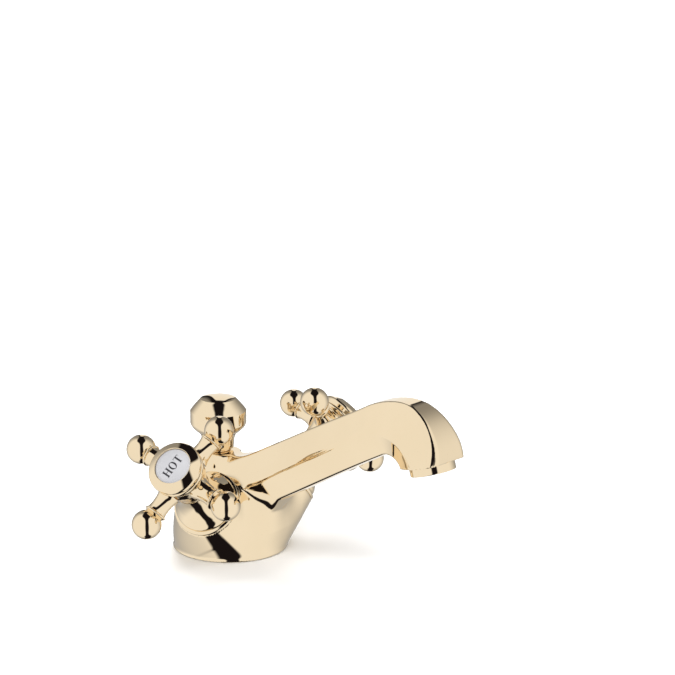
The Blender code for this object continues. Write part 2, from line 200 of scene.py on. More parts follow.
def make_materials():
    return {
        "gold": surface("polished_gold", (0.925, 0.765, 0.53), (0.945, 0.785, 0.55), 1.0,
                        (0.018, 0.032), 35.0),
        "brass": surface("raw_brass", (0.62, 0.45, 0.18), (0.74, 0.56, 0.26), 1.0,
                         (0.22, 0.38), 120.0, 0.15, 900.0),
        "steel": surface("stainless_steel", (0.52, 0.52, 0.52), (0.66, 0.66, 0.65), 1.0,
                         (0.2, 0.34), 200.0, 0.1, 1200.0),
        "porcelain": surface("porcelain", (0.41, 0.41, 0.43), (0.45, 0.45, 0.47), 0.0,
                             (0.10, 0.16), 60.0, Coat_Weight=0.6, Coat_Roughness=0.04),
        "enamel": surface("letter_enamel", (0.012, 0.012, 0.016), (0.03, 0.03, 0.036), 0.0,
                          (0.25, 0.4), 300.0),
        "ceramic": surface("ceramic", (0.72, 0.69, 0.64), (0.83, 0.81, 0.77), 0.0,
                           (0.2, 0.35), 150.0, 0.05, 1500.0),
        "rubber": surface("rubber", (0.012, 0.012, 0.012), (0.035, 0.034, 0.033), 0.0,
                          (0.6, 0.8), 250.0, 0.3, 1500.0),
        "plastic": surface("white_plastic", (0.68, 0.69, 0.70), (0.78, 0.79, 0.80), 0.0,
                           (0.35, 0.5), 180.0, 0.1, 1200.0),
    }


MATERIALS = make_materials()


# --- mesh helpers ----------------------------------------------------------------
def new_object(name, verts, faces, material, place=None, sharp=30.0):
    mesh = bpy.data.meshes.new(name)
    mesh.from_pydata([tuple(v) for v in verts], [], faces)
    mesh.validate()
    ob = bpy.data.objects.new(name, mesh)
    bpy.context.scene.collection.objects.link(ob)
    if place is not None:
        mesh.transform(place)
    mesh.materials.append(MATERIALS[material])
    mesh.shade_smooth()
    mesh.set_sharp_from_angle(angle=math.radians(sharp))
    return ob


def rounded(corners, steps=5):
    """Profile through (radius, height, fillet) corners with arcs at the fillets."""
    out = []
    count = len(corners)
    for i, (r, z, fillet) in enumerate(corners):
        here = np.array([r, z], float)
        if fillet <= 0:
            out.append((r, z))
            continue
        back = unit(np.array(corners[i - 1][:2]) - here)
        ahead = unit(np.array(corners[(i + 1) % count][:2]) - here)
        half = math.acos(max(-1.0, min(1.0, float(back @ ahead)))) / 2.0
        reach = fillet / math.tan(half)
        centre = here + unit(back + ahead) * (fillet / math.sin(half))
        a, b = here + back * reach - centre, here + ahead * reach - centre
        for k in range(steps + 1):
            t = k / steps
            mix = a * (1 - t) + b * t
            out.append(tuple(centre + unit(mix) * fillet))
    return out


def curve_through(points, steps=8):
    """Catmull-Rom curve through profile points."""
    pts = [np.array(p, float) for p in points]
    pts = [2 * pts[0] - pts[1]] + pts + [2 * pts[-1] - pts[-2]]
    out = []
    for a, b, c, d in zip(pts, pts[1:], pts[2:], pts[3:]):
        for k in range(steps):
            t = k / steps
            out.append(tuple(0.5 * (2 * b + (c - a) * t + (2 * a - 5 * b + 4 * c - d) * t * t
                                    + (3 * b - a - 3 * c + d) * t ** 3)))
    out.append(tuple(pts[-2]))
    return out


def arc(cr, cz, radius, start, end, steps):
    out = []
    for i in range(steps + 1):
        a = math.radians(start + (end - start) * i / steps)
        out.append((cr + radius * math.cos(a), cz + radius * math.sin(a)))
    return out


def turned(name, profile, place, material, segments=SEG, sharp=30.0):
    """Turn a (radius, height) outline, run anticlockwise, about the local Z axis."""
    verts, rows = [], []
    for r, z in profile:
        if r < 1e-6:
            rows.append([len(verts)])
            verts.append((0.0, 0.0, z * MM))
            continue
        rows.append(list(range(len(verts), len(verts) + segments)))
        for j in range(segments):
            a = 2 * math.pi * j / segments
            verts.append((r * math.cos(a) * MM, r * math.sin(a) * MM, z * MM))
    faces = []
    for i, low in enumerate(rows):
        high = rows[(i + 1) % len(rows)]
        if len(low) == 1 and len(high) == 1:
            continue
        for j in range(segments):
            k = (j + 1) % segments
            if len(low) == 1:
                faces.append((low[0], high[k], high[j]))
            elif len(high) == 1:
                faces.append((low[j], low[k], high[0]))
            else:
                faces.append((low[j], low[k], high[k], high[j]))
    return new_object(name, verts, faces, material, place, sharp)


# --- body ------------------------------------------------------------------------
def smooth_min(a, b, k):
    h = np.clip(0.5 + 0.5 * (b - a) / k, 0, 1)
    return b + (a - b) * h - k * h * (1 - h)


def smooth_max(a, b, k):
    return -smooth_min(-a, -b, k)


def spline(keys, values):
    """Natural cubic through the keys, held straight beyond its ends."""
    order = np.argsort(keys)
    x, y = np.array(keys, float)[order], np.array(values, float)[order]
    n, h = len(x), np.diff(x)
    system, right = np.eye(n), np.zeros(n)
    for i in range(1, n - 1):
        system[i, i - 1:i + 2] = h[i - 1], 2 * (h[i - 1] + h[i]), h[i]
        right[i] = 6 * ((y[i + 1] - y[i]) / h[i] - (y[i] - y[i - 1]) / h[i - 1])
    m = np.linalg.solve(system, right)

    def at(q):
        q = np.clip(q, x[0], x[-1])
        i = np.clip(np.searchsorted(x, q) - 1, 0, n - 2)
        a, b = x[i + 1] - q, q - x[i]
        return ((m[i] * a ** 3 + m[i + 1] * b ** 3) / (6 * h[i])
                + (y[i] / h[i] - m[i] * h[i] / 6) * a + (y[i + 1] / h[i] - m[i + 1] * h[i] / 6) * b)
    return at


ARC_MM = 0.5236                        # one degree of the bend, as millimetres of station


def station(angle):
    """Distance along the spout of a section in the bend; the rising leg starts at 0."""
    return (angle - RISE) * ARC_MM


# heights above the bend centre line and half-widths, by distance along the spout
TOP_RISING = spline([112, 60, 20, 0, station(14), station(0), station(-12), station(FOLD)],
                    [33.6, 33.3, 32.7, 32.4, 32.8, 33.9, 35.3, 36.6])
TOP_FRONT = spline([station(FOLD), station(-37), station(-52), station(-62), station(-OUTLET)],
                   [36.6, 36.7, 36.3, 35.7, 34.1])
TOP_W = spline([112, 92, 60, 0, station(FOLD), station(-45), station(-OUTLET)],
               [8.0, 7.2, 6.0, 5.7, 5.7, 7.3, 9.7])
SIDE_H = spline([112, 60, 20, 0, station(0), station(FOLD), station(-48), station(-OUTLET)],
                [18.0, 18.4, 19.8, 20.4, 19.8, 19.8, 19.2, 18.6])
SIDE_W = spline([112, 60, 0, station(FOLD), station(-OUTLET)], [16.4, 15.1, 12.8, 12.7, 12.8])
LOW_H = spline([112, 60, 0, station(0), station(-OUTLET)], [6.9, 7.2, 7.9, 7.5, 7.6])
LOW_W = spline([112, 0, station(-OUTLET)], [7.0, 6.5, 6.5])


def corner_width(s):
    """Width of the facet under the top edge, growing from the bend to the outlet."""
    start = station(FACET_FROM)
    t = np.clip((start - s) / (start - station(-OUTLET)), 0, 1)
    return 0.05 + FACET_W * t ** FACET_GROWTH


def line_field(w, h, aw, ah, bw, bh):
    """Signed distance from the line a to b, positive on the outer side."""
    dw, dh = bw - aw, bh - ah
    return ((aw - w) * dh + (h - ah) * dw) / np.sqrt(dw * dw + dh * dh)


def spout_field(p):
    """Fields of the spout's sides and ends, its underside, and its top."""
    dy, dz = p[:, 1] - BEND[1], p[:, 2] - BEND[2]
    w = np.abs(p[:, 0])
    rise = math.radians(RISE)
    along = dy * math.cos(rise) - dz * math.sin(rise)
    angle = np.degrees(np.arctan2(dy, dz))
    rising = along >= 0
    s = np.where(rising, along, station(np.clip(angle, -OUTLET - 8, RISE)))
    h = np.where(rising, dy * math.sin(rise) + dz * math.cos(rise), np.hypot(dy, dz))
    fold = station(FOLD)
    top = np.where(s > fold, TOP_RISING(s), TOP_FRONT(s))
    tw, mw, mh, lw, lh = TOP_W(s), SIDE_W(s), SIDE_H(s), LOW_W(s), LOW_H(s)
    bite = corner_width(s)
    cw, ch = tw + FACET_RUN * bite, top - FACET_DROP * bite
    corner = line_field(w, h, tw, top, cw, ch)
    side = line_field(w, h, cw, ch, mw, mh)
    under = line_field(w, h, mw, mh, lw, lh)
    f = smooth_max(side, corner, 0.2 + 0.2 * bite)
    f = smooth_max(f, under, UNDER_BLEND)
    fall = math.radians(OUTLET)
    mouth = np.where(rising, -50.0, -(dy * math.cos(fall) + dz * math.sin(fall)))
    f = smooth_max(f, mouth, 0.5)
    f = smooth_max(f, along - SPOUT_END, 1.0)
    dip = ROOT_DIP * np.log1p(np.exp(np.clip(s - ROOT_FROM, -30, 30)))
    keel = lh - dip - 0.25 * (1 - w / lw)
    return f, keel - h, h - top


def boss_field(p, side):
    """Tapered arm of the casting from the foot to one boss face."""
    origin, across, _, out = valve(side)
    level = unit([out[0], out[1], 0.0])
    u, w, z = p @ level, p @ across, p[:, 2]
    face_u, face_z, face_w = origin @ level, origin[2], origin @ across
    pivot = face_u + face_z * math.tan(math.asin(out[2]))
    du = pivot - u
    phi = np.arctan2(z, du)
    end = math.atan2(face_z, pivot - face_u)
    reach = math.hypot(face_z, pivot - face_u)

    def chord(a, b):
        dx, dz = b * math.cos(end) - a, b * math.sin(end)
        return a * dz / np.maximum(np.cos(phi) * dz - np.sin(phi) * dx, 1e-3)

    inside = np.clip(phi / end, -0.2, 1.15)
    near = chord(pivot - BASE_R, reach - BOSS_R)
    far = chord(pivot + BASE_R, reach + BOSS_R)
    centre, half = (near + far) / 2, (far - near) / 2
    lateral = BASE_R + (BOSS_R - BASE_R) * inside
    r = np.hypot((np.hypot(du, z) - centre) / half, (w - face_w * inside) / lateral)
    f = (r - 1.0) * np.minimum(half, lateral) * TRUE_SLOPE
    return smooth_max(f, (p - origin) @ out, 0.5)


def column_field(p):
    """Centre of the casting: crown behind, and the rounded front under the spout."""
    x, y, z = p.T
    t = z / CROWN_Z
    r = BASE_R - (BASE_R - CROWN_R) * np.clip(t, 0, 1.2) ** 1.1
    crown = (np.hypot(x, y - CROWN_Y * t) - r) * TRUE_SLOPE
    front = np.hypot(x, y + FRONT_LEAN * z) - (BASE_R - FRONT_TAPER * z)
    front = smooth_max(front * TRUE_SLOPE, z - FRONT_TOP, 6.0)
    return smooth_min(crown, front, 5.0)


def rod_field(p, centre, axis, radius, low, high):
    """Capped cylinder along an axis through a point."""
    q = p - centre
    a = q @ axis
    r = np.sqrt(np.maximum((q * q).sum(1) - a * a, 0)) - radius
    return np.maximum(r, np.maximum(low - a, a - high))


def cut_openings(f, p):
    """Valve bores, aerator socket, rod bore, stud hole and gasket groove."""
    up = np.array([0.0, 0.0, 1.0])
    for side in ("hot", "cold"):
        origin, _, _, out = valve(side)
        f = smooth_max(f, -rod_field(p, origin, out, VALVE_BORE_R, -VALVE_BORE_DEPTH, 9.0), 0.2)
        inner = origin - out * VALVE_BORE_DEPTH
        f = smooth_max(f, -rod_field(p, inner, up, INLET_R, -30.0, 3.0), 0.3)
    centre, _, _, axis = outlet_axes()
    f = smooth_max(f, -rod_field(p, centre, axis, AERATOR_BORE_R, -5.0, AERATOR_BORE_TOP), 0.3)
    for y, r, low, high in ((ROD_Y, ROD_BORE_R, -5, 60), (ROD_Y, BUSH_BORE_R, BUSH_BORE_FROM, 60),
                            (STUD_Y, STUD_R, -5, STUD_TOP)):
        f = smooth_max(f, -rod_field(p, np.array([0.0, y, 0.0]), up, r, low, high), 0.3)
    ring = np.abs(np.hypot(p[:, 0], p[:, 1]) - GROOVE_R) - GROOVE_HALF
    return smooth_max(f, -np.maximum(ring, p[:, 2] - GROOVE_TOP), 0.2)


def body_field(p):
    """Whole casting: bosses, column and spout blended, topped, footed and bored."""
    blend = 0.05 + JOIN_BLEND * np.clip(p[:, 2] / JOIN_FROM, 0, 1)
    f = smooth_min(boss_field(p, "hot"), boss_field(p, "cold"), blend)
    f = smooth_min(f, column_field(p), blend)
    sides, under, top = spout_field(p)
    web = smooth_max(smooth_min(f, sides, SPOUT_BLEND), under, KEEL_BLEND)
    f = smooth_min(f, web, 0.5)
    f = smooth_max(f, smooth_min(p[:, 2] - CROWN_Z, top, CROWN_FILLET), TOP_EDGE)
    return cut_openings(smooth_max(f, -p[:, 2], BASE_EDGE), p)


def sample_grid(low, step, shape):
    """Field on a regular grid, filled slab by slab."""
    nx, ny, nz = shape
    out = np.empty(shape, np.float32)
    xs, zs = low[0] + step * np.arange(nx), low[2] + step * np.arange(nz)
    gx, gz = np.meshgrid(xs, zs, indexing="ij")
    for j in range(ny):
        flat = np.stack([gx.ravel(), np.full(gx.size, low[1] + step * j), gz.ravel()], 1)
        out[:, j, :] = body_field(flat).reshape(nx, nz)
    return out


def cell_points(values, cells):
    """Middle of the sign changes along each cell's twelve edges, in cells."""
    corners = [np.array((i, j, k)) for i in (0, 1) for j in (0, 1) for k in (0, 1)]
    point, hits = np.zeros((len(cells), 3)), np.zeros(len(cells))
    for a in range(8):
        for b in range(a + 1, 8):
            ca, cb = corners[a], corners[b]
            if np.abs(ca - cb).sum() != 1:
                continue
            va = values[tuple((cells + ca).T)].astype(float)
            vb = values[tuple((cells + cb).T)].astype(float)
            cross = (va < 0) != (vb < 0)
            t = np.where(cross, va / np.where(cross, va - vb, 1.0), 0.0)
            point += np.where(cross[:, None], ca + (cb - ca) * t[:, None], 0.0)
            hits += cross
    return cells + point / hits[:, None]


def net_faces(inside, index):
    """One quad round each grid edge that crosses the surface, facing out."""
    faces = []
    for axis in range(3):
        first = np.moveaxis(inside, axis, 0)
        flips = np.argwhere(first[:-1] != first[1:])
        rest = [a for a in range(3) if a != axis]
        edges = np.empty_like(flips)
        edges[:, axis], edges[:, rest[0]], edges[:, rest[1]] = flips.T
        going_out = inside[tuple(edges.T)]
        quad = []
        for da, db in ((-1, -1), (0, -1), (0, 0), (-1, 0)):
            cell = edges.copy()
            cell[:, rest[0]] += da
            cell[:, rest[1]] += db
            quad.append(index[tuple(cell.T)])
        quad = np.stack(quad, 1)
        flip = going_out if axis == 1 else ~going_out
        quad[flip] = quad[flip][:, ::-1]
        faces.append(quad)
    return np.concatenate(faces)


def surface_net(values, low, step):
    """Points and quads of the surface where the sampled field changes sign."""
    inside = values < 0
    nx, ny, nz = values.shape
    total = sum(inside[i:nx - 1 + i, j:ny - 1 + j, k:nz - 1 + k].astype(np.int8)
                for i in (0, 1) for j in (0, 1) for k in (0, 1))
    active = (total > 0) & (total < 8)
    cells = np.argwhere(active)
    index = np.full(active.shape, -1, np.int64)
    index[active] = np.arange(len(cells))
    return low + step * cell_points(values, cells), net_faces(inside, index)


def settle(field, verts, rounds=3, reach=0.3):
    """Move points onto the field's zero along its slope."""
    for _ in range(rounds):
        value = field(verts)
        slope = np.stack([(field(verts + d) - field(verts - d)) / 0.04
                          for d in 0.02 * np.eye(3)], 1)
        length = np.maximum((slope ** 2).sum(1), 0.05)
        move = -(value / length)[:, None] * slope
        size = np.linalg.norm(move, axis=1, keepdims=True)
        verts = verts + move * np.minimum(1.0, reach / np.maximum(size, 1e-9))
    return verts


def make_body(step=0.7):
    low, high = (np.array(v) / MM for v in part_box("body"))
    low, high = low - 1.7 * step, high + 2.2 * step
    shape = tuple(np.ceil((high - low) / step).astype(int) + 1)
    verts, faces = surface_net(sample_grid(low, step, shape), low, step)
    verts = settle(body_field, verts)
    mesh = bpy.data.meshes.new("casting")
    mesh.vertices.add(len(verts))
    mesh.vertices.foreach_set("co", (verts * MM).astype(np.float32).ravel())
    mesh.loops.add(faces.size)
    mesh.loops.foreach_set("vertex_index", faces.astype(np.int32).ravel())
    mesh.polygons.add(len(faces))
    mesh.polygons.foreach_set("loop_start", np.arange(0, faces.size, 4, dtype=np.int32))
    mesh.update(calc_edges=True)
    mesh.validate()
    ob = bpy.data.objects.new("casting", mesh)
    bpy.context.scene.collection.objects.link(ob)
    mesh.materials.append(MATERIALS["gold"])
    mesh.shade_smooth()
    mesh.set_sharp_from_angle(angle=math.radians(35))
    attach(ob, "root")
    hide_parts("body")
    return ob


# --- trim --------------------------------------------------------------------------
def settle_piece(ob, body, node):
    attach(ob, body)
    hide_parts(node)
    return ob


def make_seat_ring(side):
    profile = rounded([(13.0, 0.12, 0), (16.9, 0.12, 0.3), (16.9, 1.5, 0.9), (15.6, 2.3, 0.5),
                       (13.0, 2.3, 0.3)], 6)
    ob = turned(side + "_trim_ring", profile, valve_matrix(side), "gold")
    settle_piece(ob, "root", side + "_seat_ring")


def make_shroud(side):
    outer = curve_through([(15.2, 2.45), (15.45, 3.2), (15.1, 4.3), (13.7, 6.6), (12.0, 9.6),
                           (10.5, 13.4), (9.5, 17.6), (9.1, 22.1)])
    inner = [(8.0, 22.1), (8.2, 17.6), (9.2, 13.4), (10.7, 9.6), (12.4, 6.6), (13.9, 2.45)]
    ob = turned(side + "_bell", outer + inner, valve_matrix(side), "gold", sharp=40)
    settle_piece(ob, "root", side + "_shroud")


def make_hub(side):
    outer = curve_through([(9.0, 22.3), (9.3, 25.0), (10.2, 28.6), (11.3, 32.0), (11.6, 34.8),
                           (11.6, 37.0), (12.1, 38.4), (12.5, 39.1)])
    rest = [(12.5, 39.4), (11.3, 39.4), (11.3, 41.7), (7.0, 41.7), (7.0, 35.3), (2.7, 35.3),
            (2.7, 34.3), (4.3, 34.3), (4.3, 22.3)]
    ob = turned(side + "_boss", outer + rest, valve_matrix(side), "gold", sharp=40)
    settle_piece(ob, side + "_handle", side + "_hub")


def make_arm(side, index):
    neck = [(0, 8.3), (3.0, 8.3), (3.0, 10.9)]
    flare = curve_through([(5.6, 10.9), (5.35, 12.0), (4.85, 13.8), (4.55, 16.0), (4.5, 18.0),
                           (4.65, 19.8), (4.9, 21.0)], 6)
    bead = arc(4.95, 21.75, 0.62, -75, 75, 8)
    start = math.acos(-5.6 / BALL_R)
    turns = [start * (1 - i / 30) for i in range(30)]
    ball = [(BALL_R * math.sin(a), BALL_RING_R + BALL_R * math.cos(a)) for a in turns]
    profile = neck + flare + bead + ball + [(0, BALL_RING_R + BALL_R)]
    ob = turned("%s_spoke_%d" % (side, index + 1), profile, arm_matrix(side, index), "gold",
                segments=96, sharp=35)
    settle_piece(ob, side + "_handle", "%s_arm_%d" % (side, index + 1))


def make_cap(side):
    bead = arc(12.2, 41.4, 1.05, -75, 72, 12)
    dome = arc(11.7, 44.6, 1.75, -38, 90 - CAP_SLOPE, 16)
    rim = arc(9.2, 48.15, 0.2, 90 - CAP_SLOPE, 180, 6)
    inner = [(9.0, 45.9), (0, 45.9), (0, 44.2), (11.2, 44.2), (11.6, 43.2), (11.6, 39.9)]
    profile = [(12.2, 39.9)] + bead + [(12.75, 42.75)] + dome + rim + inner
    ob = turned(side + "_dome", profile, valve_matrix(side), "gold", sharp=40)
    settle_piece(ob, side + "_handle", side + "_cap")


def disc_height(r):
    return DISC_CROWN - (DISC_CROWN - DISC_EDGE) * (r / DISC_R) ** 2


def make_disc(side):
    top = [(DISC_R * (1 - i / 14), disc_height(DISC_R * (1 - i / 14))) for i in range(15)]
    profile = [(0, 46.0), (DISC_R, 46.0)] + top
    ob = turned(side + "_disc", profile, valve_matrix(side), "porcelain", sharp=40)
    settle_piece(ob, side + "_handle", side + "_index_disc")


# --- letters -----------------------------------------------------------------------
def stroke(x0, x1, y0, y1):
    return [(x0, y0), (x1, y0), (x1, y1), (x0, y1)]


def serif_stem(x, width, height, foot=0.16, slab=0.035):
    """Upright with a flat serif at each end."""
    a, b = x - width / 2, x + width / 2
    return [stroke(a, b, 0, height), stroke(a - foot / 2, b + foot / 2, 0, slab),
            stroke(a - foot / 2, b + foot / 2, height - slab, height)]


def oval(cx, cy, rx, ry, thick, thin, start=0.0, end=360.0, steps=40):
    """Stroke round an oval, thick at the sides and thin at top and bottom."""
    out = []
    for i in range(steps):
        quad = []
        for a, outer in ((i, 1), (i + 1, 1), (i + 1, 0), (i, 0)):
            t = math.radians(start + (end - start) * a / steps)
            x, y = math.cos(t), math.sin(t)
            cut = 0 if outer else 1
            quad.append((cx + x * (rx - cut * thick), cy + y * (ry - cut * thin)))
        out.append(quad)
    return out


# strokes, gaps and tiles as parts of a letter's height
THICK, THIN = 0.19, 0.06
LETTER_GAP, TILE = 0.05, 0.2


def letter(char):
    """Strokes of H, O, T, C, L or D, one unit high, and how wide it is."""
    if char == "H":
        return (serif_stem(0.16, THICK, 1) + serif_stem(0.66, THICK, 1)
                + [stroke(0.2, 0.62, 0.5, 0.5 + THIN)]), 0.86
    if char == "O":
        return oval(0.42, 0.5, 0.40, 0.515, THICK, THIN), 0.88
    if char == "T":
        top = [stroke(0.02, 0.72, 1 - THIN, 1), stroke(0.02, 0.05, 0.78, 1),
               stroke(0.69, 0.72, 0.78, 1)]
        return serif_stem(0.37, THICK, 1) + top, 0.76
    if char == "C":
        ends = [stroke(0.68, 0.72, 0.70, 0.97), stroke(0.68, 0.72, 0.03, 0.24)]
        return oval(0.42, 0.5, 0.40, 0.515, THICK, THIN, 38, 322) + ends, 0.80
    if char == "L":
        foot = [stroke(0.1, 0.62, 0, THIN), stroke(0.59, 0.62, 0, 0.24)]
        return serif_stem(0.16, THICK, 1) + foot, 0.68
    # what is left is a D
    bowl = oval(0.30, 0.5, 0.46, 0.5, THICK, THIN, -90, 90)
    return serif_stem(0.16, THICK, 1) + bowl + [stroke(0.1, 0.30, 0, THIN),
                                                stroke(0.1, 0.30, 1 - THIN, 1)], 0.82


def tiles(quad, size):
    """The quad cut into smaller ones, so that they follow the dome."""
    (ax, ay), (bx, by), (cx, cy), (dx, dy) = quad
    nu = max(1, math.ceil(math.hypot(bx - ax, by - ay) / size))
    nv = max(1, math.ceil(math.hypot(dx - ax, dy - ay) / size))

    def at(u, v):
        return ((1 - v) * ((1 - u) * ax + u * bx) + v * ((1 - u) * dx + u * cx),
                (1 - v) * ((1 - u) * ay + u * by) + v * ((1 - u) * dy + u * cy))

    return [[at(i / nu, j / nv), at((i + 1) / nu, j / nv), at((i + 1) / nu, (j + 1) / nv),
             at(i / nu, (j + 1) / nv)] for i in range(nu) for j in range(nv)]


def word_tiles(word, height, angle):
    """Corner points of a word's tiles, centred on the disc and turned."""
    quads, pen = [], 0.0
    for char in word:
        strokes, width = letter(char)
        for quad in strokes:
            quads += tiles([(x + pen, y) for x, y in quad], TILE)
        pen += width + LETTER_GAP
    middle = (pen - LETTER_GAP) / 2
    turn = math.radians(angle)
    c, s = math.cos(turn) * height, math.sin(turn) * height
    return [[((x - middle) * c - (y - 0.5) * s, (x - middle) * s + (y - 0.5) * c)
             for x, y in quad] for quad in quads]


def make_word(side, word, height, angle):
    """Word standing slightly proud of the disc's dome, its line at an angle to the front."""
    verts, faces = [], []
    for ring in word_tiles(word, height, angle):
        base = len(verts)
        for lift in (-0.02, 0.04):
            verts += [(a * MM, b * MM, (disc_height(math.hypot(a, b)) + lift) * MM)
                      for a, b in ring]
        faces += [(base + 3, base + 2, base + 1, base), (base + 4, base + 5, base + 6, base + 7)]
        faces += [(base + i, base + (i + 1) % 4, base + 4 + (i + 1) % 4, base + 4 + i)
                  for i in range(4)]
    ob = new_object(side + "_word", verts, faces, "enamel", valve_matrix(side))
    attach(ob, side + "_handle")


# --- knob, bush, aerator -------------------------------------------------------------
def rod_matrix():
    return Matrix.Translation((0, ROD_Y * MM, 0))


def make_knob():
    """Waisted skirt, straight band, steep flank and a shallow button on top."""
    z, band, button_r = KNOB_FOOT, KNOB_R, 8.4
    skirt = curve_through([(7.55, z + 0.2), (7.75, z + 1.5), (7.85, z + 3.0), (8.2, z + 5.2),
                           (9.2, z + 7.2), (11.3, z + 9.1), (13.0, z + 10.8), (13.95, z + 12.4),
                           (band, z + 13.4)])
    flank = curve_through([(band, z + 19.2), (13.15, z + 20.55), (12.0, z + 22.0),
                           (10.65, z + 23.55), (9.3, z + 25.0)])
    rings = [button_r * (1 - i / 12) for i in range(13)]
    button = [(r, z + 26.9 - r ** 2 / (2 * KNOB_CROWN_R)) for r in rings]
    profile = [(2.3, z), (7.4, z)] + skirt + [(band, z + 19.0)] + flank + [(8.95, z + 25.4)]
    profile += button + [(0, z + 12.5), (2.3, z + 12.5)]
    ob = turned("lift_pull", profile, rod_matrix(), "gold", sharp=18)
    settle_piece(ob, "lift", "lift_knob")


def make_bush():
    profile = [(2.3, 37.0), (4.7, 37.0), (4.7, 48.75), (5.6, 48.75)]
    profile += arc(5.6, 49.2, 0.45, -80, 85, 8) + [(2.3, 49.7)]
    ob = turned("lift_collar", profile, rod_matrix(), "gold", sharp=40)
    settle_piece(ob, "root", "lift_rod_bush")


def make_aerator():
    centre, across, second, up = outlet_axes()
    place = matrix(centre, across, second, up)
    shell = rounded([(8.4, 0.0, 0.3), (11.0, 0.0, 0.45), (11.0, 6.0, 0.2), (10.6, 6.4, 0.1),
                     (10.6, 10.0, 0.1), (9.4, 10.0, 0.1), (9.4, 2.0, 0.1), (8.4, 2.0, 0.1)], 5)
    ob = turned("aerator_shell", shell, place, "gold", sharp=40)
    settle_piece(ob, "root", "aerator_housing")
    make_grille(place)


def make_grille(place):
    """Round puck whose outer face is a honeycomb of shallow cells."""
    bm = bmesh.new()
    bmesh.ops.create_cone(bm, cap_ends=True, segments=96, radius1=GRILLE_R * MM,
                          radius2=GRILLE_R * MM, depth=5.6 * MM,
                          matrix=Matrix.Translation((0, 0, 6.8 * MM)))
    pitch, wall = 1.9, 0.24
    row = pitch * 0.866
    rows = int(9 / row) + 1
    for j in range(-rows, rows + 1):
        for i in range(-6, 7):
            x, y = (i + 0.5 * (j % 2)) * pitch, j * row
            if math.hypot(x, y) <= 8.9 - pitch * 0.3:
                add_cell(bm, x, y, pitch / math.sqrt(3), wall, 2.5, 4.0)
    add_rim(bm, [(GRILLE_R, 4.0), (GRILLE_R, 2.4), (8.75, 2.4), (8.75, 4.0)])
    bmesh.ops.recalc_face_normals(bm, faces=bm.faces)
    mesh = bpy.data.meshes.new("aerator_grille")
    bm.to_mesh(mesh)
    bm.free()
    ob = bpy.data.objects.new("aerator_grille", mesh)
    bpy.context.scene.collection.objects.link(ob)
    mesh.transform(place)
    mesh.materials.append(MATERIALS["plastic"])
    mesh.shade_smooth()
    mesh.set_sharp_from_angle(angle=math.radians(30))
    settle_piece(ob, "root", "aerator_insert")


def add_rim(bm, profile, count=96):
    """Ring wall round the cells, open at its inner end."""
    rim = [[bm.verts.new((r * math.cos(a) * MM, r * math.sin(a) * MM, z * MM))
            for a in (2 * math.pi * k / count for k in range(count))] for r, z in profile]
    for low, high in zip(rim, rim[1:]):
        for k in range(count):
            n = (k + 1) % count
            bm.faces.new((low[k], high[k], high[n], low[n]))


def add_cell(bm, x, y, radius, wall, low, high):
    """Hexagonal tube wall standing between two heights."""
    rings = []
    for r, z in ((radius, low), (radius - wall, low), (radius - wall, high), (radius, high)):
        rings.append([bm.verts.new(((x + r * math.sin(a)) * MM, (y + r * math.cos(a)) * MM, z * MM))
                      for a in (math.radians(60 * k) for k in range(6))])
    for i in range(4):
        a, b = rings[i], rings[(i + 1) % 4]
        for k in range(6):
            n = (k + 1) % 6
            bm.faces.new((a[k], a[n], b[n], b[k]))


# --- CAD nodes that stay -------------------------------------------------------------
KEPT = {
    "valve_body": "brass", "fixed_disc": "ceramic", "valve_seal": "rubber", "spindle": "brass",
    "turning_disc": "ceramic", "spindle_seal": "rubber", "circlip": "steel",
    "handle_screw": "steel", "base_gasket": "rubber", "aerator_gasket": "rubber",
    "lift_rod": "brass", "lift_rod_seal": "rubber",
}


def dress_kept_nodes():
    """Give the pieces that aren't redrawn their materials; handles repeat a name per side."""
    for name, ob in frame["nodes"].items():
        kind = KEPT.get(name) or KEPT.get(name.partition("_")[2])
        if kind is not None:
            ob.data.materials.clear()
            ob.data.materials.append(MATERIALS[kind])


# --- studio ----------------------------------------------------------------------
CAMERA_AT = (-0.89232, -0.85891, 0.42501)
CAMERA_LOOK = (0.72661, 0.64067, -0.24815)
# azimuths and heights in degrees, squareness of the corners, softness of the edge
LEFT_PANEL = (-168.0, -6.0), (-79.0, 65.0), 5.0, 0.04
RIGHT_PANEL = (21.0, 170.0), (-70.0, 63.0), 5.0, 0.04
SWEEP = (-7.5, 7.5), (-51.0, 43.0), 6.0, 0.05            # azimuths from straight behind
# light lost along each panel: between these azimuths, from this share to that
RIGHT_LOSS = 84.0, 156.0, 0.0, 0.72
LEFT_LOSS = -156.0, -108.0, 0.70, 0.0
LOW_LOSS = -30.0, 0.0, 0.7, 1.0        # the loss is milder below the horizon, by height


def sky_angles(nodes):
    """Azimuth from the camera's side, positive to its right, and height, in degrees."""
    place = nodes.add("ShaderNodeTexCoord")
    split = nodes.add("ShaderNodeSeparateXYZ")
    nodes.link(place, "Generated", split, "Vector")
    x, y, z = split.outputs
    back = unit([-CAMERA_LOOK[0], -CAMERA_LOOK[1], 0])
    ahead = nodes.math("ADD", nodes.math("MULTIPLY", x, back[0]),
                       nodes.math("MULTIPLY", y, back[1]))
    aside = nodes.math("SUBTRACT", nodes.math("MULTIPLY", y, back[0]),
                       nodes.math("MULTIPLY", x, back[1]))
    azimuth = nodes.math("MULTIPLY", nodes.math("ARCTAN2", aside, ahead), 180 / math.pi)
    return azimuth, nodes.math("MULTIPLY", nodes.math("ARCSINE", z), 180 / math.pi)


